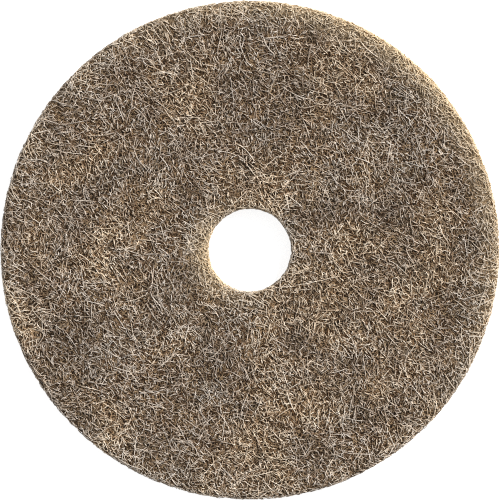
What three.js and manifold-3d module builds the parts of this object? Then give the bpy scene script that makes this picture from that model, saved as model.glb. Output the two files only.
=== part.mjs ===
// Floor polishing pad: one ring of lofty non-woven web, made of hair and crimped fibre bonded with resin.
// The web is a levelled blanket with flat lands and thin, sunken spots. A round die presses it and stamps
// out the disc and the centre hole, so the cut edges stand upright and their corners are rolled over.
// Units are millimetres, +Z is up. The origin is on the axis of the hole, on the face that the pad lies on.
import * as THREE from "three";
import { mergeVertices } from "three/addons/utils/BufferGeometryUtils.js";
import Module from "manifold-3d";

// Driving dimensions
const PAD_DIAMETER = 508;
const HOLE_DIAMETER = 85;
const PAD_THICKNESS = 25.4;

// Corners that the die rolls over: their radius, and how much of each arc's height the face cuts away
const RIM_CORNER = 8;
const HOLE_CORNER = 6;
const CORNER_CREASE = 1.2;

// Relief of the web: clumps of fibre and the thin spots between them, and the tufts inside a thin spot
const CLUMP_SPACING = 44;
const CLUMP_SHARE = 0.6;
const CLUMP_LEVEL = 0.53;
const HOLLOW_RANGE = 0.2;
const HOLLOW_DEPTH = 1.5;
const TUFT_SPACING = 23;
const TUFT_HEIGHT = 0.9;

// Fineness of the model: cells across the pad, how far a corner strays in its cell, and the round cuts' sides
const WEB_CELLS = 46;
const SPARE_CELLS = 4;
const WEB_STRAY = 0.28;
const RIM_SIDES = 128;
const HOLE_SIDES = 56;
const ARC_DIVISIONS = 2;

// How far a cut runs past the face, and the distance under which two corners are one
const CUT_OVERRUN = 1;
const WELD_DISTANCE = 1e-4;

// Each face has random numbers of its own. A lattice has fewer points than its span on each side.
const UPPER_SEED = 11;
const UNDER_SEED = 47;
const LATTICE_SPAN = 1000;

// A fillet stays within the wall that it rounds.
const rimCorner = Math.min(RIM_CORNER, PAD_THICKNESS / 2);
const holeCorner = Math.min(HOLE_CORNER, PAD_THICKNESS / 2);

const wasm = await Module();
wasm.setup();

// A number from 0 to 1 that is fixed for each pair of whole numbers and each seed.
function scatter(i, j, seed) {
  return THREE.MathUtils.seededRandom((seed * LATTICE_SPAN + i) * LATTICE_SPAN + j);
}

// Smooth noise from 0 to 1 whose bumps lie about one spacing apart.
function smoothNoise(x, y, spacing, seed) {
  const column = Math.floor(x / spacing);
  const row = Math.floor(y / spacing);
  const across = THREE.MathUtils.smoothstep(x / spacing - column, 0, 1);
  const along = THREE.MathUtils.smoothstep(y / spacing - row, 0, 1);
  const near = THREE.MathUtils.lerp(scatter(column, row, seed), scatter(column + 1, row, seed), across);
  const far = THREE.MathUtils.lerp(scatter(column, row + 1, seed), scatter(column + 1, row + 1, seed), across);
  return THREE.MathUtils.lerp(near, far, along);
}

// How deep the web lies under the levelled plane: 0 on a land, and HOLLOW_DEPTH at the most, less the tufts.
function hollow(x, y, seed) {
  const coarse = smoothNoise(x, y, CLUMP_SPACING, seed);
  const fine = smoothNoise(x, y, CLUMP_SPACING / 2, seed + 1);
  const clump = THREE.MathUtils.lerp(fine, coarse, CLUMP_SHARE);
  const thin = THREE.MathUtils.clamp((CLUMP_LEVEL - clump) / HOLLOW_RANGE, 0, 1);
  const tuft = smoothNoise(x, y, TUFT_SPACING, seed + 2) * TUFT_HEIGHT;
  return thin * (HOLLOW_DEPTH - tuft);
}

// A closed three.js geometry as a solid that can be joined and cut.
function solidOf(geometry) {
  const bare = geometry.index ? geometry.toNonIndexed() : geometry.clone();
  bare.deleteAttribute("normal");
  bare.deleteAttribute("uv");
  const merged = mergeVertices(bare, WELD_DISTANCE);
  return new wasm.Manifold(
    new wasm.Mesh({
      numProp: 3,
      vertProperties: merged.attributes.position.array,
      triVerts: new Uint32Array(merged.index.array),
    }),
  );
}

// The solid as a three.js geometry with flat faces.
function geometryOf(solid) {
  const mesh = solid.getMesh();
  const geometry = new THREE.BufferGeometry();
  geometry.setAttribute("position", new THREE.BufferAttribute(mesh.vertProperties, 3));
  geometry.setIndex(new THREE.BufferAttribute(mesh.triVerts, 1));
  const flat = geometry.toNonIndexed();
  flat.computeVertexNormals();
  return flat;
}

// The levelled blanket, wider than the die, with its relief on both faces.
function webBlanket() {
  const cell = PAD_DIAMETER / WEB_CELLS;
  const stray = cell * WEB_STRAY;
  const cells = WEB_CELLS + SPARE_CELLS;
  const width = cells * cell;
  const blanket = new THREE.BoxGeometry(width, width, PAD_THICKNESS, cells, cells, 1);
  blanket.translate(0, 0, PAD_THICKNESS / 2);
  const place = blanket.attributes.position;
  for (let i = 0; i < place.count; i++) {
    const column = Math.round(place.getX(i) / cell);
    const row = Math.round(place.getY(i) / cell);
    const upper = place.getZ(i) > PAD_THICKNESS / 2;
    const seed = upper ? UPPER_SEED : UNDER_SEED;
    const x = place.getX(i) + THREE.MathUtils.lerp(-stray, stray, scatter(column, row, seed + 3));
    const y = place.getY(i) + THREE.MathUtils.lerp(-stray, stray, scatter(column, row, seed + 4));
    const depth = hollow(x, y, seed);
    place.setXYZ(i, x, y, upper ? PAD_THICKNESS - depth : depth);
  }
  return solidOf(blanket);
}

// A solid of revolution about Z, from a profile of radius and height that starts and ends on the axis.
function turned(profile, sides) {
  return solidOf(new THREE.LatheGeometry(profile.getPoints(ARC_DIVISIONS), sides).rotateX(Math.PI / 2));
}

// The inside of the die's outer ring: a disc whose corners roll over just past the faces of the web.
function dieDisc() {
  const radius = PAD_DIAMETER / 2;
  const low = -CORNER_CREASE;
  const high = PAD_THICKNESS + CORNER_CREASE;
  const profile = new THREE.Path();
  profile.moveTo(0, low);
  profile.lineTo(radius - rimCorner, low);
  profile.absarc(radius - rimCorner, low + rimCorner, rimCorner, -Math.PI / 2, 0, false);
  profile.lineTo(radius, high - rimCorner);
  profile.absarc(radius - rimCorner, high - rimCorner, rimCorner, 0, Math.PI / 2, false);
  profile.lineTo(0, high);
  return turned(profile, RIM_SIDES);
}

// The slug that the die's centre punch takes out: the hole, flared by the rolled corners at both faces.
function centreSlug() {
  const radius = HOLE_DIAMETER / 2;
  const low = -CORNER_CREASE;
  const high = PAD_THICKNESS + CORNER_CREASE;
  const flare = radius + holeCorner;
  const profile = new THREE.Path();
  profile.moveTo(0, low - CUT_OVERRUN);
  profile.lineTo(flare, low - CUT_OVERRUN);
  profile.lineTo(flare, low);
  profile.absarc(flare, low + holeCorner, holeCorner, -Math.PI / 2, -Math.PI, true);
  profile.lineTo(radius, high - holeCorner);
  profile.absarc(flare, high - holeCorner, holeCorner, Math.PI, Math.PI / 2, true);
  profile.lineTo(flare, high + CUT_OVERRUN);
  profile.lineTo(0, high + CUT_OVERRUN);
  return turned(profile, HOLE_SIDES);
}

const webMaterial = new THREE.MeshStandardMaterial({ color: 0x7d6e5d, roughness: 0.95, metalness: 0 });

const pad = new THREE.Mesh(geometryOf(webBlanket().intersect(dieDisc()).subtract(centreSlug())), webMaterial);
pad.name = "polishing_pad";

const floorPad = new THREE.Group();
floorPad.add(pad);

export default floorPad;
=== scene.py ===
"""Looks of a floor polishing pad: a dark inner web under a skin of loose fibre, seen from above."""
import logging
import math
from dataclasses import dataclass, field
from enum import Enum

import bpy
import numpy as np
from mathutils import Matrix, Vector
from mathutils.bvhtree import BVHTree


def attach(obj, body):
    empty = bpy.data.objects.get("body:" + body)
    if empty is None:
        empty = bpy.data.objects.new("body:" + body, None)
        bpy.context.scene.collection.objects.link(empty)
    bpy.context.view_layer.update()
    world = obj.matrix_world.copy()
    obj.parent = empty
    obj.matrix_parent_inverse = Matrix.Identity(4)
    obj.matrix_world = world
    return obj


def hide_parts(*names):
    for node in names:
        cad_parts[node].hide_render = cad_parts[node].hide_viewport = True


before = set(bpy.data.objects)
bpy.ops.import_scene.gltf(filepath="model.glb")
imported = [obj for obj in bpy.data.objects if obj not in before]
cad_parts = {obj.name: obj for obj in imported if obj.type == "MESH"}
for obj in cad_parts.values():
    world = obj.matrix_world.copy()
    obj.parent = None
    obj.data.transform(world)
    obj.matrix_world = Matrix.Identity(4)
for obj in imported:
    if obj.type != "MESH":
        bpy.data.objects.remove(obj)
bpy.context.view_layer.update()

LOG = logging.getLogger("polishing_pad")
MM = 0.001
PAD_NODE = "polishing_pad"
BODY = "root"
BAKE_MAP = "OFBake"

# What each corner of a mesh tells its material
TINT = "tint"
# Depth of a strand's corner, which its material darkens by resin staining and painted shade
SUNK = "sunk"
# Painted light: how far a corner is lifted to a pale colour at the cuts that face the lamps
PAINTED_LIGHT = "painted_light"

# How many sides the tube of a strand has
STRAND_SIDES = 3

WHITE = (1.0, 1.0, 1.0, 1.0)

Array = np.ndarray
Rng = np.random.Generator
Socket = bpy.types.NodeSocket
Inputs = dict[str | int, object]
Span = tuple[float, float]
Colour = tuple[float, float, float]
Stops = tuple[tuple[float, Colour], ...]


def read_vectors(items: bpy.types.bpy_prop_collection, name: str) -> Array:
    """Read one vector for each item of a mesh.

    Args:
        items: The mesh's corners, normals or faces.
        name: What is read of each.

    Returns:
        One row of three numbers for each item.
    """
    flat = np.empty(len(items) * 3, np.float32)
    items.foreach_get(name, flat)
    return flat.reshape(-1, 3)


class Zone(Enum):
    """A stretch of the pad's skin that strands are laid on."""

    UPPER_FACE = "upper face"
    RIM_WALL = "rim wall"
    UNDER_FACE = "under face"
    HOLE_WALL = "hole wall"


@dataclass(frozen=True)
class PadSizes:
    """Sizes of the stamped disc, in metres.

    Attributes:
        outer_radius: Radius of the cut rim.
        hole_radius: Radius of the cut centre hole.
        thickness: Height of the levelled web.
        rim_corner: Radius of the rolled corners of the rim.
        hole_corner: Radius of the rolled corners of the hole.
        edge_fade: Distance from a cut over which its loose fibres fade by two thirds.
        painted_light_fade: Distance from a cut over which its painted light fades by two thirds.
        rim_light_heading: Direction of the rim's painted light, where it faces the lamps, counted from +X.
        hole_light_heading: Direction of the painted light on the hole's edge, where its wall faces the
            lamps, counted from +X.
        painted_light_far: Painted light of the stretch opposite the brightest one.
        painted_light_focus: How narrow the stretch of painted light is.
    """

    outer_radius: float
    hole_radius: float
    thickness: float
    rim_corner: float = 7.0 * MM
    hole_corner: float = 5.0 * MM
    edge_fade: float = 11.0 * MM
    # Painted light on the cut edges: how far it reaches, where it is strongest, what the far side keeps and
    # how narrow it is
    painted_light_fade: float = 16.0 * MM
    rim_light_heading: float = math.radians(46)
    hole_light_heading: float = math.radians(-165)
    painted_light_far: float = 0.05
    painted_light_focus: float = 4.0

    @classmethod
    def from_solid(cls, solid: bpy.types.Object) -> "PadSizes":
        """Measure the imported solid.

        Args:
            solid: The pad's solid, which sits at the origin.

        Returns:
            The sizes of the disc.
        """
        corners = read_vectors(solid.data.vertices, "co")
        reach = np.hypot(corners[:, 0], corners[:, 1])
        return cls(float(reach.max()), float(reach.min()), float(corners[:, 2].max()))

    def depth_at(self, points: Array) -> Array:
        """Say how far places in the pad's frame lie from the nearest cut: 0 outside the cuts."""
        reach = np.hypot(points[..., 0], points[..., 1])
        return np.maximum(np.minimum(self.outer_radius - reach, reach - self.hole_radius), 0.0)

    def edge_at(self, points: Array) -> Array:
        """Say how near places are to a cut: 1 on the cut walls, fading to 0 over the faces."""
        return np.exp(-self.depth_at(points) / self.edge_fade)

    def painted_light_at(self, points: Array) -> Array:
        """Give the painted light at the nearest cut: most where that cut faces the lamps, at its own
        heading.

        Args:
            points: Places in the pad's frame, with a last axis of three.

        Returns:
            One number for each place, from 0 to 1.
        """
        reach = np.hypot(points[..., 0], points[..., 1])
        outer = reach > (self.outer_radius + self.hole_radius) / 2
        heading = np.where(outer, self.rim_light_heading, self.hole_light_heading)
        turn = np.arctan2(points[..., 1], points[..., 0]) - heading
        strength = self.painted_light_far + (1 - self.painted_light_far) * ((1 + np.cos(turn)) / 2) ** self.painted_light_focus
        return strength * np.exp(-((self.depth_at(points) / self.painted_light_fade) ** 2))


class SkinProfile:
    """The outline of the pad's section, turned about Z: a place on it is an arc length and an angle."""

    STEP = 0.5 * MM
    ARC_POINTS = 13
    AREA_STEPS = 400

    def __init__(self, sizes: PadSizes) -> None:
        """Trace the outline from the middle of the hole's wall, over the upper face and back below.

        Args:
            sizes: Sizes of the disc.
        """
        self.sizes = sizes
        outline = np.array(self._outline())
        run = np.concatenate([[0.0], np.cumsum(np.hypot(*np.diff(outline, axis=0).T))])
        count = int(run[-1] / self.STEP)
        self.length = float(run[-1])
        self.arc = np.linspace(0.0, self.length, count + 1)
        self.radius = np.interp(self.arc, run, outline[:, 0])
        self.height = np.interp(self.arc, run, outline[:, 1])
        slope = np.gradient(np.stack([self.radius, self.height]), self.arc, axis=1)
        slope /= np.hypot(*slope)
        self.radial_slope, self.height_slope = slope

    def _outline(self) -> list[Span]:
        """Give the outline's corners and the points of its arcs.

        Returns:
            Radius and height of each point, the last one back on the first.
        """
        size = self.sizes
        middle = size.thickness / 2
        flare = size.hole_radius + size.hole_corner
        shoulder = size.outer_radius - size.rim_corner
        points = [(size.hole_radius, middle)]
        points += self._arc(flare, size.thickness - size.hole_corner, size.hole_corner, (180, 90))
        points += self._arc(shoulder, size.thickness - size.rim_corner, size.rim_corner, (90, 0))
        points += self._arc(shoulder, size.rim_corner, size.rim_corner, (0, -90))
        points += self._arc(flare, size.hole_corner, size.hole_corner, (-90, -180))
        points.append((size.hole_radius, middle))
        return points

    @classmethod
    def _arc(cls, radius: float, height: float, bend: float, turn: Span) -> list[Span]:
        """Give points on an arc of radius bend, round a centre, over a span of degrees."""
        angle = np.radians(np.linspace(*turn, cls.ARC_POINTS))
        return list(zip(radius + bend * np.cos(angle), height + bend * np.sin(angle)))

    def span(self, zone: Zone) -> Span:
        """Give the first and last arc length of a zone.

        Args:
            zone: The stretch of skin.

        Returns:
            The two arc lengths, the first below the second.
        """
        size = self.sizes
        wall = size.thickness / 2 - size.hole_corner
        hole_quarter = size.hole_corner * math.pi / 2
        rim_quarter = size.rim_corner * math.pi / 2
        face = size.outer_radius - size.rim_corner - size.hole_radius - size.hole_corner
        upper = wall + hole_quarter / 2
        rim = upper + hole_quarter / 2 + face + rim_quarter / 2
        under = rim + rim_quarter + size.thickness - 2 * size.rim_corner
        hole = under + rim_quarter / 2 + face + hole_quarter / 2
        spans = {
            Zone.UPPER_FACE: (upper, rim),
            Zone.RIM_WALL: (rim, under),
            Zone.UNDER_FACE: (under, hole),
            Zone.HOLE_WALL: (hole, self.length + upper),
        }
        return spans[zone]

    def spread(self, zone: Zone, share: Array) -> Array:
        """Find the arc lengths before which given shares of a zone's area lie.

        Args:
            zone: The stretch of skin.
            share: Shares of the area, from 0 to 1.

        Returns:
            One arc length for each share.
        """
        arc = np.linspace(*self.span(zone), self.AREA_STEPS)
        area = np.cumsum(self.radius_at(arc))
        return np.interp(share * area[-1], area, arc)

    def radius_at(self, arc: Array) -> Array:
        """Give the distance from the axis at each arc length."""
        return np.interp(arc % self.length, self.arc, self.radius)

    def spread_at(self, arc: Array) -> Array:
        """Give how fast the distance from the axis grows along the outline at each arc length."""
        return np.interp(arc % self.length, self.arc, self.radial_slope)

    def place(self, arc: Array, angle: Array) -> tuple[Array, Array]:
        """Turn arc lengths and angles into places in the pad's frame.

        Args:
            arc: Arc lengths along the outline.
            angle: Angles about Z, of the same shape.

        Returns:
            The points and the outward normals, each with a last axis of three.
        """
        along = arc % self.length
        radius = np.interp(along, self.arc, self.radius)
        height = np.interp(along, self.arc, self.height)
        outward = -np.interp(along, self.arc, self.height_slope)
        upward = np.interp(along, self.arc, self.radial_slope)
        east, north = np.cos(angle), np.sin(angle)
        points = np.stack([radius * east, radius * north, height], axis=-1)
        normals = np.stack([outward * east, outward * north, upward], axis=-1)
        return points, normals / np.linalg.norm(normals, axis=-1, keepdims=True)


class SolidSkin:
    """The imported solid's own faces, on which every strand is laid."""

    REACH = 6 * MM

    def __init__(self, solid: bpy.types.Object) -> None:
        """Index the solid's faces.

        Args:
            solid: The pad's solid.
        """
        self.tree = BVHTree.FromObject(solid, bpy.context.evaluated_depsgraph_get())

    def settle(self, points: Array, normals: Array) -> Array:
        """Move points along their normals onto the solid.

        Args:
            points: Points near the solid, with a last axis of three.
            normals: Outward normals at the points.

        Returns:
            The settled points. A point that meets no face stays.
        """
        flat = points.reshape(-1, 3).copy()
        outward = normals.reshape(-1, 3)
        for i, (start, normal) in enumerate(zip(flat + outward * self.REACH, outward)):
            hit = self.tree.ray_cast(Vector(start), Vector(-normal), 2 * self.REACH)[0]
            if hit is not None:
                flat[i] = hit
        return flat.reshape(points.shape)


class Mottle:
    """Smooth patches over the pad: a number from 0 to 1 at each place."""

    SPARE_POINTS = 3
    MARGIN = 0.001

    def __init__(self, spacing: float, seed: int, reach: float = 0.3) -> None:
        """Fill a lattice with random numbers.

        Args:
            spacing: Distance between the lattice's points, about half the size of a patch.
            seed: Start of the random numbers.
            reach: Half the width of the lattice.
        """
        self.spacing = spacing
        self.reach = reach
        self.side = int(2 * reach / spacing) + self.SPARE_POINTS
        self.lattice = np.random.default_rng(seed).random((self.side, self.side, self.side))

    def at(self, points: Array) -> Array:
        """Read the patches.

        Args:
            points: Places in the pad's frame, with a last axis of three.

        Returns:
            One number for each place.
        """
        scaled = np.clip((points + self.reach) / self.spacing, 0, self.side - 1 - self.MARGIN)
        cell = scaled.astype(int)
        part = scaled - cell
        part = part * part * (3 - 2 * part)
        total = np.zeros(points.shape[:-1])
        for corner in np.ndindex(2, 2, 2):
            share = np.prod(np.where(corner, part, 1 - part), axis=-1)
            index = cell + np.array(corner)
            total += share * self.lattice[index[..., 0], index[..., 1], index[..., 2]]
        return total


class NodeSketch:
    """A short way to place and join the nodes of one material or of the sky."""

    def __init__(self, owner: bpy.types.ID) -> None:
        """Start without nodes.

        Args:
            owner: The material or the sky.
        """
        self.owner = owner
        owner.use_nodes = True
        self.tree = owner.node_tree
        self.tree.nodes.clear()

    def add(self, kind: str, inputs: Inputs | None = None, **settings: object) -> bpy.types.Node:
        """Place one node.

        Args:
            kind: The node's type name.
            inputs: Values or sockets for its inputs, by name or number.
            **settings: The node's own settings.

        Returns:
            The new node.
        """
        node = self.tree.nodes.new(kind)
        for name, value in settings.items():
            setattr(node, name, value)
        for name, value in (inputs or {}).items():
            if isinstance(value, Socket):
                self.tree.links.new(value, node.inputs[name])
            else:
                node.inputs[name].default_value = value
        return node

    def read(self, name: str) -> Socket:
        """Give the number that the mesh holds under a name."""
        return self.add("ShaderNodeAttribute", attribute_name=name).outputs["Fac"]

    def noise(self, place: Socket, scale: float, detail: float = 1.0) -> Socket:
        """Place a noise of so many clouds in a metre, and give its number, which is near one half."""
        node = self.add("ShaderNodeTexNoise", {"Vector": place, "Scale": scale, "Detail": detail})
        return node.outputs["Fac"]

    def ramp(self, factor: Socket, stops: Stops) -> Socket:
        """Place a colour ramp.

        Args:
            factor: The socket that picks the colour.
            stops: Position and colour of each stop.

        Returns:
            The ramp's colour socket.
        """
        node = self.add("ShaderNodeValToRGB", {"Fac": factor})
        elements = node.color_ramp.elements
        while len(elements) < len(stops):
            elements.new(1.0)
        for element, (position, colour) in zip(elements, stops):
            element.position = position
            element.color = (*colour, 1.0)
        return node.outputs["Color"]

    def blend(self, factor: object, first: object, second: object, mode: str = "MIX") -> Socket:
        """Mix two colours.

        Args:
            factor: Share of the second colour, as a number or a socket.
            first: First colour or socket.
            second: Second colour or socket.
            mode: How the second colour is laid on the first.

        Returns:
            The mixed colour's socket.
        """
        inputs = {0: factor, 6: first, 7: second}
        node = self.add("ShaderNodeMix", inputs, data_type="RGBA", blend_type=mode)
        return node.outputs[2]

    def stretch(self, value: Socket, source: Span, target: Span) -> Socket:
        """Map a number from a source range onto a target range, held at both ends."""
        inputs = {"Value": value, 1: source[0], 2: source[1], 3: target[0], 4: target[1]}
        return self.add("ShaderNodeMapRange", inputs).outputs["Result"]

    def finish(self, shader: Socket, output: str = "ShaderNodeOutputMaterial") -> bpy.types.ID:
        """Join the shader to an output node, and give back the material or the sky."""
        self.add(output, {"Surface": shader})
        return self.owner


@dataclass(frozen=True)
class StrandFinish:
    """Finish of one kind of fibre.

    Attributes:
        name: Name of the material.
        shades: Position and colour along the tint, from a dull strand to a bright one.
        stain_and_depth_shade: Position and colour of the resin staining and the painted shade of depth,
            from the skin to the deepest strand.
        resin_and_shadow_cloud: Darkest and lightest clouds along a strand: resin, and painted shadow of the
            strands above.
        cloud_noise: The noise at which the clouds are darkest and lightest.
        cloud_scale: Clouds of resin and painted shadow in a metre.
        scale_scale: Cuticle scales in a metre.
        scale_depth: Height of the cuticle scales.
        scale_bump: Strength of the cuticle scales.
        roughness: Lowest and highest roughness.
        rough_noise: The noise at which the roughness is lowest and highest.
        gloss: How much the fibre mirrors.
        sheen: Weight of the soft light along the fibre's edge.
        pale: Colour of the painted light on the fibre at the cuts that face the lamps.
        painted_light_share: How much of that colour the painted light lays on.
        hue_scale: Golden and cool patches in a metre.
        hue_detail: How many finer patches lie on them.
        hues: Colour of those patches.
    """

    name: str
    shades: Stops
    # Painted shade and resin staining: the deeper a corner lies, the darker it is
    stain_and_depth_shade: Stops = (
        (0.0, (1.0, 1.0, 1.0)),
        (0.25, (0.92, 0.88, 0.83)),
        (0.5, (0.42, 0.31, 0.222)),
        (0.75, (0.08, 0.047, 0.024)),
        (1.0, (0.012, 0.006, 0.003)),
    )
    # Clouds along a strand: resin, and painted shadow of the strands above
    resin_and_shadow_cloud: Span = (0.62, 1.1)
    cloud_noise: Span = (0.35, 0.62)
    cloud_scale: float = 480.0
    scale_scale: float = 1400.0
    scale_depth: float = 0.1 * MM
    scale_bump: float = 0.35
    roughness: Span = (0.55, 0.85)
    rough_noise: Span = (0.3, 0.7)
    gloss: float = 0.06
    sheen: float = 0.05
    # Painted light: pale gold laid on the strands at the cuts that face the lamps
    pale: Colour = (0.97, 0.76, 0.48)
    painted_light_share: float = 0.8
    hue_scale: float = 17.0
    hue_detail: float = 3.0
    hues: Stops = ((0.34, (0.80, 0.815, 0.845)), (0.5, (0.99, 0.99, 1.0)), (0.66, (1.16, 1.12, 1.03)))

    def make(self) -> bpy.types.Material:
        """Build the material: a tone for each strand, darkened with depth by resin staining and painted
        shade, clouded by resin and painted shadow along its length, and lifted with painted light at the
        cuts that face the lamps.

        Returns:
            The fibre's material.
        """
        sketch = NodeSketch(bpy.data.materials.new(self.name))
        place = sketch.add("ShaderNodeTexCoord").outputs["Object"]
        resin = sketch.noise(place, self.cloud_scale)
        scales = sketch.noise(place, self.scale_scale)
        shade = sketch.ramp(sketch.read(TINT), self.shades)
        # Darken with depth: resin staining and painted shade
        stain_and_depth_shade = sketch.ramp(sketch.read(SUNK), self.stain_and_depth_shade)
        depth_shaded = sketch.blend(1.0, shade, stain_and_depth_shade, "MULTIPLY")
        # Clouds of resin and painted shadow along the strand
        resin_and_shadow_cloud = sketch.stretch(resin, self.cloud_noise, self.resin_and_shadow_cloud)
        resin_and_shadow_clouded = sketch.blend(1.0, depth_shaded, resin_and_shadow_cloud, "MULTIPLY")
        hue = sketch.ramp(sketch.noise(place, self.hue_scale, self.hue_detail), self.hues)
        hued = sketch.blend(1.0, resin_and_shadow_clouded, hue, "MULTIPLY")
        # Lay on the painted light at the cuts that face the lamps
        painted_light = sketch.stretch(sketch.read(PAINTED_LIGHT), (0.0, 1.0), (0.0, self.painted_light_share))
        with_painted_light = sketch.blend(painted_light, hued, (*self.pale, 1.0))
        inputs = {"Strength": self.scale_bump, "Distance": self.scale_depth, "Height": scales}
        bump = sketch.add("ShaderNodeBump", inputs)
        inputs = {
            "Base Color": with_painted_light,
            "Roughness": sketch.stretch(resin, self.rough_noise, self.roughness),
            "Normal": bump.outputs["Normal"],
            "Specular IOR Level": self.gloss,
            "Sheen Weight": self.sheen,
        }
        skin = sketch.add("ShaderNodeBsdfPrincipled", inputs)
        return sketch.finish(skin.outputs["BSDF"])


@dataclass(frozen=True)
class Net:
    """A net of fibres that the inner web shows.

    Attributes:
        cells: How many cells lie in a metre.
        width: Half the width of a line, as a share of a cell.
        colour: Colour of the lines.
    """

    cells: float
    width: float
    colour: Colour

    # Turns about Y and Z as multiples of the turn about X
    TILT = 1.6
    TWIST = 2.7

    # The warp: its clouds as a share of the cells, and how many cells it reaches
    WARP_CLOUDS = 0.5
    WARP_REACH = 1.6

    # The part of a line's width that is full
    LINE_CORE = 0.4

    def draw(self, sketch: NodeSketch, place: Socket, turn: float) -> Socket:
        """Draw the edges between the cells of a warped Voronoi pattern.

        Args:
            sketch: The material's nodes.
            place: The socket of the places.
            turn: How far the net is turned against the others, in radians.

        Returns:
            A socket that is 1 on a line and 0 between the lines.
        """
        rotation = (turn, self.TILT * turn, self.TWIST * turn)
        turned = sketch.add("ShaderNodeMapping", {"Vector": place, "Rotation": rotation})
        spot = turned.outputs["Vector"]
        inputs = {"Vector": spot, "Scale": self.cells * self.WARP_CLOUDS, "Detail": 1.0}
        warp = sketch.add("ShaderNodeTexNoise", inputs)
        inputs = {0: warp.outputs["Color"], 1: (self.WARP_REACH / self.cells,) * 3}
        shift = sketch.add("ShaderNodeVectorMath", inputs, operation="MULTIPLY")
        moved = sketch.add("ShaderNodeVectorMath", {0: spot, 1: shift.outputs[0]}, operation="ADD")
        inputs = {"Vector": moved.outputs[0], "Scale": self.cells}
        cells = sketch.add("ShaderNodeTexVoronoi", inputs, feature="DISTANCE_TO_EDGE")
        line = (self.LINE_CORE * self.width, self.width)
        return sketch.stretch(cells.outputs["Distance"], line, (1.0, 0.0))


@dataclass(frozen=True)
class InnerWebFinish:
    """Finish of the web under the loose strands: gaps painted near black as shade, crossed by nets of
    resin-bonded fibre.

    Attributes:
        name: Name of the material.
        painted_gap_shade: Painted shade of the deep gaps, near black.
        nets: The nets, from the deepest up; the deeper ones are drawn dimmer as painted shade.
        net_turn: How far each net is turned against the one below, in radians.
        pale: Colour of the painted light on the web at the cuts that face the lamps.
        painted_light_share: How much of that colour the painted light lays on.
        patch_scale: Warm and cool patches in a metre.
        patch_detail: How many finer patches lie on them.
        patches: Colour of the patches.
        relief: Strength of the nets' relief.
        relief_height: Height of the nets' relief.
        roughness: Roughness of the web.
        gloss: How much the web mirrors.
    """

    name: str = "inner_web"
    # Painted shade: the deep gaps are near black
    painted_gap_shade: Colour = (0.009, 0.005, 0.002)
    # The lower nets are dimmer, as painted shade of depth
    nets: tuple[Net, ...] = (
        Net(420.0, 0.10, (0.045, 0.027, 0.014)),
        Net(300.0, 0.09, (0.11, 0.072, 0.042)),
        Net(300.0, 0.13, (0.46, 0.345, 0.225)),
    )
    net_turn: float = 0.7
    # Painted light: pale tan laid on the web at the cuts that face the lamps
    pale: Colour = (0.62, 0.46, 0.28)
    painted_light_share: float = 0.5
    patch_scale: float = 34.0
    patch_detail: float = 3.0
    patches: Stops = ((0.35, (0.80, 0.80, 0.80)), (0.62, (1.12, 1.0, 0.86)))
    relief: float = 0.9
    relief_height: float = 0.8 * MM
    roughness: float = 0.9
    gloss: float = 0.2

    def make(self) -> bpy.types.Material:
        """Build the material.

        Returns:
            The inner web's material.
        """
        sketch = NodeSketch(bpy.data.materials.new(self.name))
        place = sketch.add("ShaderNodeTexCoord").outputs["Object"]
        # Start from the painted shade of the gaps
        colour: object = (*self.painted_gap_shade, 1.0)
        height: object = 0.0
        for i, net in enumerate(self.nets):
            line = net.draw(sketch, place, self.net_turn * i)
            colour = sketch.blend(line, colour, (*net.colour, 1.0))
            height = sketch.add("ShaderNodeMath", {0: line, 1: height}, operation="ADD").outputs[0]
        patches = sketch.ramp(sketch.noise(place, self.patch_scale, self.patch_detail), self.patches)
        colour = sketch.blend(1.0, colour, patches, "MULTIPLY")
        # Lay on the painted light at the cuts that face the lamps
        painted_light = sketch.stretch(sketch.read(PAINTED_LIGHT), (0.0, 1.0), (0.0, self.painted_light_share))
        colour = sketch.blend(painted_light, colour, (*self.pale, 1.0))
        inputs = {"Strength": self.relief, "Distance": self.relief_height, "Height": height}
        bump = sketch.add("ShaderNodeBump", inputs)
        inputs = {
            "Base Color": colour,
            "Roughness": self.roughness,
            "Normal": bump.outputs["Normal"],
            "Specular IOR Level": self.gloss,
        }
        skin = sketch.add("ShaderNodeBsdfPrincipled", inputs)
        return sketch.finish(skin.outputs["BSDF"])


def dress(piece: bpy.types.Object, material: bpy.types.Material) -> None:
    """Give a piece its material and its body, and report it.

    Args:
        piece: The finished piece.
        material: Its material.
    """
    piece.data.materials.clear()
    piece.data.materials.append(material)
    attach(piece, BODY)
    triangles = sum(len(face.vertices) - 2 for face in piece.data.polygons)
    LOG.info("%s: %d triangles", piece.name, triangles)


def give(mesh: bpy.types.Mesh, name: str, values: Array) -> None:
    """Hand one number for each corner of a mesh to its material.

    Args:
        mesh: The mesh.
        name: Name that the material reads.
        values: The numbers.
    """
    attribute = mesh.attributes.new(name, "FLOAT", "POINT")
    attribute.data.foreach_set("value", values.astype(np.float32))


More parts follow.
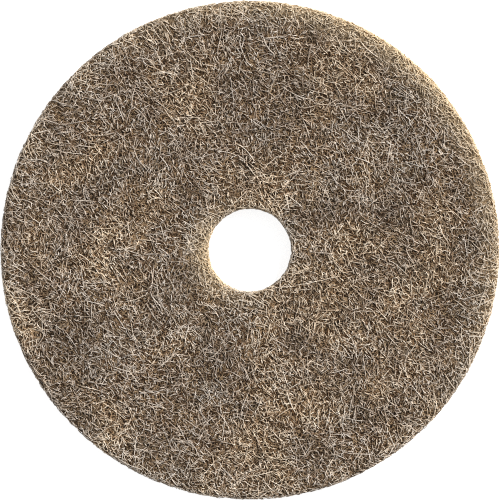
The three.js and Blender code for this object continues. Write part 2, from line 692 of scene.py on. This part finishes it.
@dataclass
class InnerWeb:
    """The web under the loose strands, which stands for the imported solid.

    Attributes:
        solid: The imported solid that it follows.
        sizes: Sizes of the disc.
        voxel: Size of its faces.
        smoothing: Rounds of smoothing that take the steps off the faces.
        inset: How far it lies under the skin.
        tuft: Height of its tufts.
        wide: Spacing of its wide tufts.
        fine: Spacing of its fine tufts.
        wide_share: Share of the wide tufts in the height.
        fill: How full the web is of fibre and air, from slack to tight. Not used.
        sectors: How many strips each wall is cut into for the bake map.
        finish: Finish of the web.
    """

    solid: bpy.types.Object
    sizes: PadSizes
    voxel: float = 2.7 * MM
    smoothing: int = 3
    inset: float = 2.2 * MM
    tuft: float = 1.6 * MM
    wide: float = 9 * MM
    fine: float = 5 * MM
    wide_share: float = 0.6
    fill: float = 0.7
    sectors: int = 8
    finish: InnerWebFinish = field(default_factory=InnerWebFinish)

    # Starts of the random numbers of the two kinds of tuft
    WIDE_SEED = 21
    FINE_SEED = 22

    # How level a face of the mesh has to be to belong to one of the disc's faces
    LEVEL = 0.5

    # The bake map: the width of a disc's face and where the two lie, then the strips of the walls
    FACE_WIDTH = 0.48
    UPPER_MIDDLE = 0.25
    UNDER_MIDDLE = 0.75
    FACE_ROW = 0.75
    STRIP_START = 0.04
    STRIP_FOOT = 0.015
    STRIP_STEP = 0.03
    STRIP_HEIGHT = 0.022
    RIM_STRIP = 0.9
    HOLE_STRIP = 0.4

    def build(self) -> bpy.types.Object:
        """Build and dress the piece.

        Returns:
            The inner web.
        """
        piece = bpy.data.objects.new("inner_web", self._remeshed())
        bpy.context.scene.collection.objects.link(piece)
        self._roughen(piece.data)
        self._lay_flat(piece.data)
        piece.data.shade_smooth()
        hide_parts(PAD_NODE)
        dress(piece, self.finish.make())
        return piece

    def _remeshed(self) -> bpy.types.Mesh:
        """Cover the solid with even faces.

        Returns:
            The new mesh.
        """
        source = bpy.data.objects.new("web_source", self.solid.data.copy())
        bpy.context.scene.collection.objects.link(source)
        remesh = source.modifiers.new("even_faces", "REMESH")
        remesh.mode = "VOXEL"
        remesh.voxel_size = self.voxel
        smooth = source.modifiers.new("soft_steps", "SMOOTH")
        smooth.iterations = self.smoothing
        evaluated = source.evaluated_get(bpy.context.evaluated_depsgraph_get())
        mesh = bpy.data.meshes.new_from_object(evaluated)
        mesh.name = "inner_web"
        bpy.data.objects.remove(source)
        return mesh

    def _roughen(self, mesh: bpy.types.Mesh) -> None:
        """Sink the mesh under the skin and raise its tufts.

        Args:
            mesh: The even mesh.
        """
        places = read_vectors(mesh.vertices, "co").astype(float)
        normals = read_vectors(mesh.vertex_normals, "vector")
        wide = Mottle(self.wide, self.WIDE_SEED).at(places)
        fine = Mottle(self.fine, self.FINE_SEED).at(places)
        tufts = wide * self.wide_share + fine * (1 - self.wide_share)
        rise = (tufts - 0.5) * self.tuft - self.inset
        # Painted light for the web's material, strongest at the cuts that face the lamps
        give(mesh, PAINTED_LIGHT, self.sizes.painted_light_at(places))
        places += normals * rise[:, None]
        mesh.vertices.foreach_set("co", places.astype(np.float32).ravel())
        mesh.update()

    def _lay_flat(self, mesh: bpy.types.Mesh) -> None:
        """Lay the faces out for baking: both faces of the disc seen square on, and the walls as strips.

        Args:
            mesh: The rough mesh.
        """
        uv = mesh.uv_layers.new(name=BAKE_MAP)
        scale = self.FACE_WIDTH / (2 * self.sizes.outer_radius)
        loops = np.empty(len(mesh.loops), np.int64)
        mesh.loops.foreach_get("vertex_index", loops)
        corner = read_vectors(mesh.vertices, "co")[loops]
        sides = np.empty(len(mesh.polygons), np.int64)
        mesh.polygons.foreach_get("loop_total", sides)
        normal = np.repeat(read_vectors(mesh.polygons, "normal"), sides, axis=0)
        middle = np.repeat(read_vectors(mesh.polygons, "center"), sides, axis=0)
        upper = normal[:, 2] > self.LEVEL
        under = normal[:, 2] < -self.LEVEL
        spot = np.where(upper, self.UPPER_MIDDLE, self.UNDER_MIDDLE)
        across = spot + corner[:, 0] * scale * np.where(upper, 1, -1)
        along = self.FACE_ROW + corner[:, 1] * scale
        spots = np.stack([across, along], axis=-1)
        wall = ~(upper | under)
        spots[wall] = self._wall_spots(corner[wall], middle[wall])
        uv.data.foreach_set("uv", spots.astype(np.float32).ravel())

    def _wall_spots(self, corner: Array, middle: Array) -> Array:
        """Lay the rim's wall and the hole's wall out as one strip for each sector.

        Args:
            corner: Places of the faces' corners.
            middle: Middle of the face that each corner belongs to.

        Returns:
            Where each corner lies in the bake map.
        """
        turn = np.arctan2(middle[:, 1], middle[:, 0])
        sector = np.clip(((turn / math.tau + 0.5) * self.sectors).astype(int), 0, self.sectors - 1)
        start = (sector / self.sectors - 0.5) * math.tau
        swing = (np.arctan2(corner[:, 1], corner[:, 0]) - start + math.pi) % math.tau - math.pi
        halfway = (self.sizes.outer_radius + self.sizes.hole_radius) / 2
        outer = np.hypot(middle[:, 0], middle[:, 1]) > halfway
        row = sector + np.where(outer, 0, self.sectors)
        width = np.where(outer, self.RIM_STRIP, self.HOLE_STRIP) * self.sectors / math.tau
        across = self.STRIP_START + swing * width
        rise = corner[:, 2] / self.sizes.thickness * self.STRIP_HEIGHT
        along = self.STRIP_FOOT + row * self.STRIP_STEP + rise
        return np.stack([across, along], axis=-1)


@dataclass(frozen=True)
class StrandSort:
    """Sizes of one length of strand.

    Attributes:
        share: Share of the layer's triangles that go into this sort.
        rings: How many rings of corners a strand has between its two tips.
        waves: How many times a strand dips under the others.
        length: Shortest and longest strand.
        crimp: How sharply a strand bends, in radians for each metre.
    """

    share: float
    rings: int
    waves: float
    length: Span
    crimp: float

    @property
    def triangles(self) -> int:
        """Triangles of one strand."""
        return 2 * STRAND_SIDES * self.rings

    @property
    def marks(self) -> Array:
        """Shares of a strand's length at which its path points lie, tips included."""
        return np.concatenate([[0.0], (np.arange(self.rings) + 0.5) / self.rings, [1.0]])


@dataclass
class StrandBatch:
    """Strands of one sort, ready to be joined into a mesh.

    Attributes:
        sort: Their sort.
        corners: Corners of each strand: ring after ring, then the two tips.
        tint: One tint for each strand.
        pale: Painted light of each strand, strongest at the cuts that face the lamps.
        sunk: Depth of each corner, from 0 at the skin to 1 at the deepest, less where the painted light
            lies; the material darkens deeper corners with resin staining and painted shade.
    """

    sort: StrandSort
    corners: Array
    tint: Array
    pale: Array
    sunk: Array

    def widen(self, numbers: Array) -> Array:
        """Repeat each strand's number for every corner of the strand."""
        return np.repeat(numbers, self.corners.shape[1])


@dataclass
class StrandLayer:
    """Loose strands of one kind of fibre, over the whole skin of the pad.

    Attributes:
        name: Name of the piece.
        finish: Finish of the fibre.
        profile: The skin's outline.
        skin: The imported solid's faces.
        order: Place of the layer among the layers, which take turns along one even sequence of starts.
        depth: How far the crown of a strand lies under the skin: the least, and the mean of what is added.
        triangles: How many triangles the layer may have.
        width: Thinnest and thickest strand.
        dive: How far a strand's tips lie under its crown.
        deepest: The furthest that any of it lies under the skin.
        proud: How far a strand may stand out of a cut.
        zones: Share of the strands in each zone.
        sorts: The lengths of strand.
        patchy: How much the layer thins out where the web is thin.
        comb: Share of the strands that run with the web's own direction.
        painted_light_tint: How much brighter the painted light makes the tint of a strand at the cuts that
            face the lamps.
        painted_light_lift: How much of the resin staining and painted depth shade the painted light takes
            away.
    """

    name: str
    finish: StrandFinish
    profile: SkinProfile
    skin: SolidSkin
    order: int
    depth: Span
    triangles: int = 195000
    width: Span = (0.56 * MM, 0.8 * MM)
    dive: float = 1.6 * MM
    deepest: float = 3.4 * MM
    proud: float = 1.2 * MM
    zones: dict[Zone, float] = field(
        default_factory=lambda: {
            Zone.UPPER_FACE: 0.70,
            Zone.RIM_WALL: 0.12,
            Zone.UNDER_FACE: 0.15,
            Zone.HOLE_WALL: 0.03,
        }
    )
    sorts: tuple[StrandSort, ...] = (
        StrandSort(0.11, 5, 0.4, (18 * MM, 32 * MM), 32.0),
        StrandSort(0.54, 3, 0.8, (9 * MM, 14 * MM), 125.0),
        StrandSort(0.35, 2, 0.0, (4 * MM, 8 * MM), 170.0),
    )
    patchy: float = 0.15
    comb: float = 0.35
    # Painted light: how much it brightens the tint and takes away the painted depth shade
    painted_light_tint: float = 0.3
    painted_light_lift: float = 0.7

    # Starts: the even sequence's constant, its places for each strand, the layers that share it, the stray
    PLASTIC = 1.32471795724
    SPARE = 2
    LAYERS = 4
    STRAY = 0.6 * MM

    # Headings on the cuts: how many strands run round the pad, and how far they stray from it
    ROUND_SHARE = 0.5
    ROUND_STRAY = 0.45

    # Headings on the faces: the web's own direction, how far it swings, and how far strands stray from it
    LEAN = math.radians(-50)
    LEAN_SWING = 3.0
    LEAN_STRAY = 0.4

    # The walk: its steps, the steady part of a bend, and how many waves of crimp a strand has
    STEPS = 24
    STEADY_BEND = 0.35
    BEATS = (0.6, 1.6)

    # Depths: how much deeper thin web lies, how late a strand dives, and the least and the largest dip
    THIN_SINK = 0.3 * MM
    DIVE_POWER = 4
    DIP = (0.3 * MM, 1.0 * MM)

    # Tints: how much the thickness of the web counts, and how much strands differ
    THICK_TINT = 1.3
    TINT_STRAY = 0.2

    # The free edge of a strand's cell in the bake map
    CELL_EDGE = 0.1

    def build(self) -> bpy.types.Object:
        """Build and dress the piece.

        Returns:
            The layer of strands.
        """
        rng = np.random.default_rng(SEED + self.order)
        batches = [self._tubes(sort, rng) for sort in self.sorts]
        piece = bpy.data.objects.new(self.name, self._mesh(batches))
        bpy.context.scene.collection.objects.link(piece)
        dress(piece, self.finish.make())
        return piece

    def _starts(self, count: int, rng: Rng) -> tuple[Array, Array, Array]:
        """Choose where strands start and which way they head: evenly, but fewer where the web is thin.

        Args:
            count: How many strands there are.
            rng: The source of chance.

        Returns:
            The arc lengths, the angles about Z and the headings.
        """
        arcs, angles, heads = [], [], []
        for zone, share in self.zones.items():
            wanted = int(round(count * share))
            index = np.arange(wanted * self.SPARE) * self.LAYERS + self.order
            arc = self.profile.spread(zone, index / self.PLASTIC % 1)
            angle = index / self.PLASTIC**2 % 1 * math.tau
            arc = arc + rng.normal(0, self.STRAY, len(index))
            angle = angle + rng.normal(0, self.STRAY, len(index)) / self.profile.radius_at(arc)
            thick = WEB_PATCHES.at(self.profile.place(arc, angle)[0])
            keep = np.flatnonzero(rng.random(len(index)) < 1 - self.patchy * (1 - thick))[:wanted]
            arcs.append(arc[keep])
            angles.append(angle[keep])
            heads.append(self._heading(zone, arc[keep], angle[keep], rng))
        return np.concatenate(arcs), np.concatenate(angles), np.concatenate(heads)

    def _heading(self, zone: Zone, arc: Array, angle: Array, rng: Rng) -> Array:
        """Draw headings: any way or combed on the faces, and often round the pad on the cut walls.

        Args:
            zone: The stretch of skin.
            arc: Arc lengths of the starts.
            angle: Angles of the starts about Z.
            rng: The source of chance.

        Returns:
            One heading for each strand: 0 runs along the outline, and a quarter turn runs round the pad.
        """
        count = len(arc)
        free = rng.random(count) * math.tau
        flip = np.where(rng.random(count) < 0.5, 0, math.pi)
        if zone in (Zone.RIM_WALL, Zone.HOLE_WALL):
            around = math.pi / 2 + flip + rng.normal(0, self.ROUND_STRAY, count)
            return np.where(rng.random(count) < 1 - self.ROUND_SHARE, free, around)
        grain = (WEB_GRAIN.at(self.profile.place(arc, angle)[0]) - 0.5) * self.LEAN_SWING
        combed = self.LEAN + grain + flip + rng.normal(0, self.LEAN_STRAY, count) - angle
        return np.where(rng.random(count) < self.comb, combed, free)

    def _walk(self, sort: StrandSort, rng: Rng) -> tuple[Array, Array]:
        """Walk each strand over the skin with its own bends.

        Args:
            sort: Sizes of the strands.
            rng: The source of chance.

        Returns:
            The arc lengths and the angles of the path points, one row for each strand.
        """
        arc, angle, head = self._starts(int(self.triangles * sort.share / sort.triangles), rng)
        count = len(arc)
        length = rng.uniform(*sort.length, count)
        bend = rng.normal(0, sort.crimp * self.STEADY_BEND, count)
        wave = rng.normal(0, sort.crimp, count)
        beat = rng.uniform(*self.BEATS, count) * math.tau
        phase = rng.random(count) * math.tau
        stops = set(np.round(sort.marks * self.STEPS).astype(int))
        step = length / self.STEPS
        arcs, angles = [], []
        for i in range(self.STEPS + 1):
            if i in stops:
                arcs.append(arc.copy())
                angles.append(angle.copy())
            radius = self.profile.radius_at(arc)
            curve = bend + wave * np.cos(beat * i / self.STEPS + phase)
            arc = arc + np.cos(head) * step
            angle = angle + np.sin(head) * step / radius
            head = head + (curve - self.profile.spread_at(arc) * np.sin(head) / radius) * step
        return np.stack(arcs, axis=1), np.stack(angles, axis=1)

    def _sink(self, sort: StrandSort, thick: Array, edge: Array, rng: Rng) -> Array:
        """Say how deep the path points lie: the crown near the skin, the tips below, and dips between.

        Args:
            sort: Sizes of the strands.
            thick: How thick the web is at each strand.
            edge: How near each strand is to a cut.
            rng: The source of chance.

        Returns:
            The depths, one row for each strand.
        """
        count = len(thick)
        crown = self.depth[0] + rng.exponential(self.depth[1], count) + (1 - thick) * self.THIN_SINK
        crown -= self.proud * edge * rng.random(count)
        sag = self.dive * np.abs(2 * sort.marks - 1) ** self.DIVE_POWER
        turn = sort.waves * math.tau * sort.marks + rng.random(count)[:, None] * math.tau
        swing = rng.uniform(*self.DIP, count) * min(sort.waves, 1.0)
        weave = (1 - np.cos(turn)) * swing[:, None]
        return np.minimum(crown[:, None] + sag + weave, self.deepest)

    def _tubes(self, sort: StrandSort, rng: Rng) -> StrandBatch:
        """Lay the strands of one sort and wrap a thin closed tube round each.

        Args:
            sort: Sizes of the strands.
            rng: The source of chance.

        Returns:
            The strands.
        """
        points, normals = self.profile.place(*self._walk(sort, rng))
        points = self.skin.settle(points, normals)
        count = len(points)
        middle = points[:, points.shape[1] // 2]
        thick = WEB_PATCHES.at(middle)
        edge = self.profile.sizes.edge_at(middle)
        # Painted light of each strand, strongest at the cuts that face the lamps
        pale = self.profile.sizes.painted_light_at(middle)
        sunk = self._sink(sort, thick, edge, rng)
        width = rng.uniform(*self.width, count)
        points -= normals * sunk[..., None]
        points[..., 2] = np.maximum(points[..., 2], width[:, None] / 2)
        roll = rng.random(count) * math.tau / STRAND_SIDES
        radius = width / 2 / math.sin(math.pi / STRAND_SIDES)
        rings = self._rings(points, normals, radius, roll)
        corners = np.concatenate([rings.reshape(count, -1, 3), points[:, [0, -1]]], axis=1)
        # The painted light raises the tint at the cuts that face the lamps
        tint = 0.5 + self.THICK_TINT * (thick - 0.5) + self.painted_light_tint * pale
        tint += rng.normal(0, self.TINT_STRAY, count)
        # Depth drives the staining and painted shade, and the painted light at the cuts that face the lamps
        # takes part of it away
        depth_shaded = np.clip(sunk / self.deepest, 0, 1) * (1 - self.painted_light_lift * pale[:, None])
        inner = np.repeat(depth_shaded[:, 1:-1], STRAND_SIDES, axis=1)
        depths = np.concatenate([inner, depth_shaded[:, [0, -1]]], axis=1)
        return StrandBatch(sort, corners, np.clip(tint, 0, 1), pale, depths)

    def _rings(self, points: Array, normals: Array, radius: Array, roll: Array) -> Array:
        """Give the corners of the rings round the inner path points.

        Args:
            points: Path points, one row for each strand.
            normals: Outward normals at the path points.
            radius: Radius of each strand's rings.
            roll: Turn of each strand's rings.

        Returns:
            The corners, by strand, ring and side.
        """
        run = points[:, 2:] - points[:, :-2]
        run /= np.linalg.norm(run, axis=-1, keepdims=True)
        side = np.cross(run, normals[:, 1:-1])
        side /= np.linalg.norm(side, axis=-1, keepdims=True)
        lift = np.cross(side, run)
        turn = roll[:, None] + np.arange(STRAND_SIDES) * math.tau / STRAND_SIDES
        east = np.cos(turn)[:, None, :, None] * side[:, :, None, :]
        north = np.sin(turn)[:, None, :, None] * lift[:, :, None, :]
        return points[:, 1:-1, None, :] + (east + north) * radius[:, None, None, None]

    def _faces(self, sort: StrandSort) -> tuple[list[tuple[int, ...]], list[tuple[Span, ...]]]:
        """Give one strand's faces, and where their corners lie in its cell of the bake map.

        Args:
            sort: Sizes of the strand.

        Returns:
            The corners' numbers and the corners' spots, face by face.
        """
        faces, cells = [], []
        marks = sort.marks[1:-1]
        end = (sort.rings - 1) * STRAND_SIDES
        first, last = sort.rings * STRAND_SIDES, sort.rings * STRAND_SIDES + 1
        for j in range(STRAND_SIDES):
            k = (j + 1) % STRAND_SIDES
            low, high = j / STRAND_SIDES, (j + 1) / STRAND_SIDES
            faces.append((first, k, j))
            cells.append(((0.0, (low + high) / 2), (marks[0], high), (marks[0], low)))
            for i in range(sort.rings - 1):
                a, b = i * STRAND_SIDES, (i + 1) * STRAND_SIDES
                faces.append((a + j, a + k, b + k, b + j))
                cells.append(((marks[i], low), (marks[i], high), (marks[i + 1], high), (marks[i + 1], low)))
            faces.append((end + j, end + k, last))
            cells.append(((marks[-1], low), (marks[-1], high), (1.0, (low + high) / 2)))
        return faces, cells

    def _mesh(self, batches: list[StrandBatch]) -> bpy.types.Mesh:
        """Join all strands into one mesh, with the numbers for its material and a bake map.

        Args:
            batches: The strands of each sort.

        Returns:
            The layer's mesh.
        """
        loops, sizes, spots = [], [], []
        base, cell = 0, 0
        side = math.ceil(math.sqrt(sum(len(batch.tint) for batch in batches)))
        for batch in batches:
            count, each = batch.corners.shape[:2]
            faces, cells = self._faces(batch.sort)
            order = np.concatenate([np.array(face) for face in faces])
            loops.append((base + np.arange(count)[:, None] * each + order).ravel())
            sizes.append(np.tile([len(face) for face in faces], count))
            number = cell + np.arange(count)
            origin = np.stack([number % side, number // side], axis=-1)[:, None, :]
            inside = np.array([spot for face in cells for spot in face])
            spot = (origin + self.CELL_EDGE + inside * (1 - 2 * self.CELL_EDGE)) / side
            spots.append(spot.reshape(-1, 2))
            base += count * each
            cell += count
        mesh = bpy.data.meshes.new(self.name)
        sizes = np.concatenate(sizes)
        corners = np.concatenate([batch.corners.reshape(-1, 3) for batch in batches])
        mesh.vertices.add(base)
        mesh.vertices.foreach_set("co", corners.astype(np.float32).ravel())
        mesh.loops.add(int(sizes.sum()))
        mesh.loops.foreach_set("vertex_index", np.concatenate(loops).astype(np.int32))
        mesh.polygons.add(len(sizes))
        mesh.polygons.foreach_set("loop_start", (np.cumsum(sizes) - sizes).astype(np.int32))
        mesh.update(calc_edges=True)
        mesh.validate()
        uv = mesh.uv_layers.new(name=BAKE_MAP)
        uv.data.foreach_set("uv", np.concatenate(spots).astype(np.float32).ravel())
        give(mesh, TINT, np.concatenate([batch.widen(batch.tint) for batch in batches]))
        give(mesh, PAINTED_LIGHT, np.concatenate([batch.widen(batch.pale) for batch in batches]))
        give(mesh, SUNK, np.concatenate([batch.sunk.ravel() for batch in batches]))
        mesh.shade_smooth()
        return mesh


@dataclass(frozen=True)
class Lamp:
    """A distant soft lamp.

    Attributes:
        name: Name of the lamp.
        strength: Light that it throws on a surface that faces it.
        width: Its width as the pad sees it, in degrees.
        heading: Direction that it hangs in, in degrees from +X.
        height: How high it hangs over the floor, in degrees.
    """

    name: str
    strength: float
    width: float
    heading: float
    height: float

    def hang(self) -> None:
        """Hang the lamp."""
        lamp = bpy.data.lights.new(self.name, "SUN")
        lamp.energy = self.strength
        lamp.angle = math.radians(self.width)
        heading, height = math.radians(self.heading), math.radians(self.height)
        reach = Vector((math.cos(heading), math.sin(heading), math.tan(height)))
        holder = bpy.data.objects.new(self.name, lamp)
        holder.location = reach
        holder.rotation_euler = reach.to_track_quat("Z", "Y").to_euler()
        bpy.context.scene.collection.objects.link(holder)


@dataclass
class Studio:
    """The plain pale floor, the soft light and the camera over the pad.

    Attributes:
        sizes: Sizes of the disc.
        frame_share: Share of the frame's width that the disc fills.
        camera_height: How high the camera stands over the floor.
        floor_side: Width of the floor.
        floor_shade: Shade of the floor.
        floor_glow: How much the floor is lifted to white for the camera.
        pixel_blur: Width in pixels over which the picture is smoothed, short enough for single fibres.
        sky: Strength of the even light.
        lamps: The lamps: one high, and one that grazes the face and lights the cut edges that it meets.
    """

    sizes: PadSizes
    frame_share: float = 499 / 500
    camera_height: float = 2.6
    floor_side: float = 12.0
    floor_shade: float = 0.8
    floor_glow: float = 0.8
    pixel_blur: float = 1.15
    sky: float = 0.36
    lamps: tuple[Lamp, ...] = (
        Lamp("key", 2.5, 12.0, 38.0, 48.0),
        Lamp("side", 2.1, 14.0, 38.0, 14.0),
    )

    def build(self) -> None:
        """Set up the whole studio."""
        scene = bpy.context.scene
        scene.view_settings.view_transform = "Standard"
        scene.cycles.use_denoising = False
        scene.cycles.filter_width = self.pixel_blur
        self._floor()
        self._sky(scene)
        for lamp in self.lamps:
            lamp.hang()
        self._camera(scene)

    def _floor(self) -> None:
        """Lay the floor, which looks white to the camera and keeps the pad's shadow."""
        half = self.floor_side / 2
        corners = [(-half, -half, 0), (half, -half, 0), (half, half, 0), (-half, half, 0)]
        mesh = bpy.data.meshes.new("floor")
        mesh.from_pydata(corners, [], [(0, 1, 2, 3)])
        floor = bpy.data.objects.new("floor", mesh)
        bpy.context.scene.collection.objects.link(floor)
        sketch = NodeSketch(bpy.data.materials.new("pale_floor"))
        lift = sketch.stretch(self._seen(sketch), (0.0, 1.0), (0.0, self.floor_glow))
        matt = sketch.add("ShaderNodeBsdfDiffuse", {"Color": (self.floor_shade,) * 3 + (1.0,)})
        glow = sketch.add("ShaderNodeEmission", {"Color": WHITE, "Strength": lift})
        both = sketch.add("ShaderNodeAddShader", {0: matt.outputs[0], 1: glow.outputs[0]})
        mesh.materials.append(sketch.finish(both.outputs[0]))

    @staticmethod
    def _seen(sketch: NodeSketch) -> Socket:
        """Tell what is seen from what only lights the pad.

        Args:
            sketch: The nodes of the floor or the sky.

        Returns:
            A socket that is 1 for the camera, in a reflection or through glass, and 0 for light.
        """
        path = sketch.add("ShaderNodeLightPath")
        inputs = {0: path.outputs["Is Camera Ray"], 1: path.outputs["Is Glossy Ray"]}
        first = sketch.add("ShaderNodeMath", inputs, operation="MAXIMUM")
        inputs = {0: first.outputs[0], 1: path.outputs["Is Transmission Ray"]}
        return sketch.add("ShaderNodeMath", inputs, operation="MAXIMUM").outputs[0]

    def _sky(self, scene: bpy.types.Scene) -> None:
        """Light the pad with an even sky that looks white to the camera.

        Args:
            scene: The scene.
        """
        sketch = NodeSketch(bpy.data.worlds.new("sky"))
        level = sketch.stretch(self._seen(sketch), (0.0, 1.0), (self.sky, 1.0))
        sky = sketch.add("ShaderNodeBackground", {"Color": WHITE, "Strength": level})
        scene.world = sketch.finish(sky.outputs["Background"], "ShaderNodeOutputWorld")

    def _camera(self, scene: bpy.types.Scene) -> None:
        """Hang the camera over the middle of the pad, with the disc filling the frame as in the photograph.

        Args:
            scene: The scene.
        """
        lens = bpy.data.cameras.new("camera")
        widest = self.sizes.thickness - self.sizes.rim_corner
        half_view = self.sizes.outer_radius / self.frame_share
        lens.lens = lens.sensor_width / 2 * (self.camera_height - widest) / half_view
        camera = bpy.data.objects.new("camera", lens)
        camera.location = (0.0, 0.0, self.camera_height)
        scene.collection.objects.link(camera)
        scene.camera = camera


# Start of the layers' random numbers
SEED = 31

# Where the web is thick or thin, and how its own direction swings
WEB_PATCHES = Mottle(spacing=26 * MM, seed=5)
WEB_GRAIN = Mottle(spacing=34 * MM, seed=8)

CREAM_HAIR = StrandFinish(
    "cream_hair", ((0.0, (0.78, 0.69, 0.60)), (0.5, (0.92, 0.83, 0.73)), (1.0, (0.98, 0.90, 0.80)))
)
TAN_HAIR = StrandFinish(
    "tan_hair", ((0.0, (0.59, 0.49, 0.40)), (0.5, (0.80, 0.69, 0.57)), (1.0, (0.90, 0.79, 0.65)))
)
BROWN_FIBRE = StrandFinish(
    "brown_fibre", ((0.0, (0.17, 0.12, 0.078)), (0.5, (0.34, 0.25, 0.17)), (1.0, (0.56, 0.42, 0.29)))
)
GREY_FIBRE = StrandFinish(
    "grey_fibre", ((0.0, (0.50, 0.43, 0.36)), (0.5, (0.71, 0.62, 0.52)), (1.0, (0.86, 0.76, 0.64)))
)


def main() -> None:
    """Build the pad and its studio."""
    logging.basicConfig(level=logging.INFO, format="%(name)s: %(message)s")
    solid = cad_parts[PAD_NODE]
    sizes = PadSizes.from_solid(solid)
    profile = SkinProfile(sizes)
    skin = SolidSkin(solid)
    Studio(sizes).build()
    InnerWeb(solid, sizes).build()
    StrandLayer("brown_strands", BROWN_FIBRE, profile, skin, order=0, depth=(1.2 * MM, 0.4 * MM)).build()
    StrandLayer("grey_strands", GREY_FIBRE, profile, skin, order=1, depth=(0.5 * MM, 0.4 * MM)).build()
    StrandLayer("tan_strands", TAN_HAIR, profile, skin, order=2, depth=(0.35 * MM, 0.35 * MM)).build()
    StrandLayer("cream_strands", CREAM_HAIR, profile, skin, order=3, depth=(0.3 * MM, 0.25 * MM)).build()


if __name__ == "__main__":
    main()
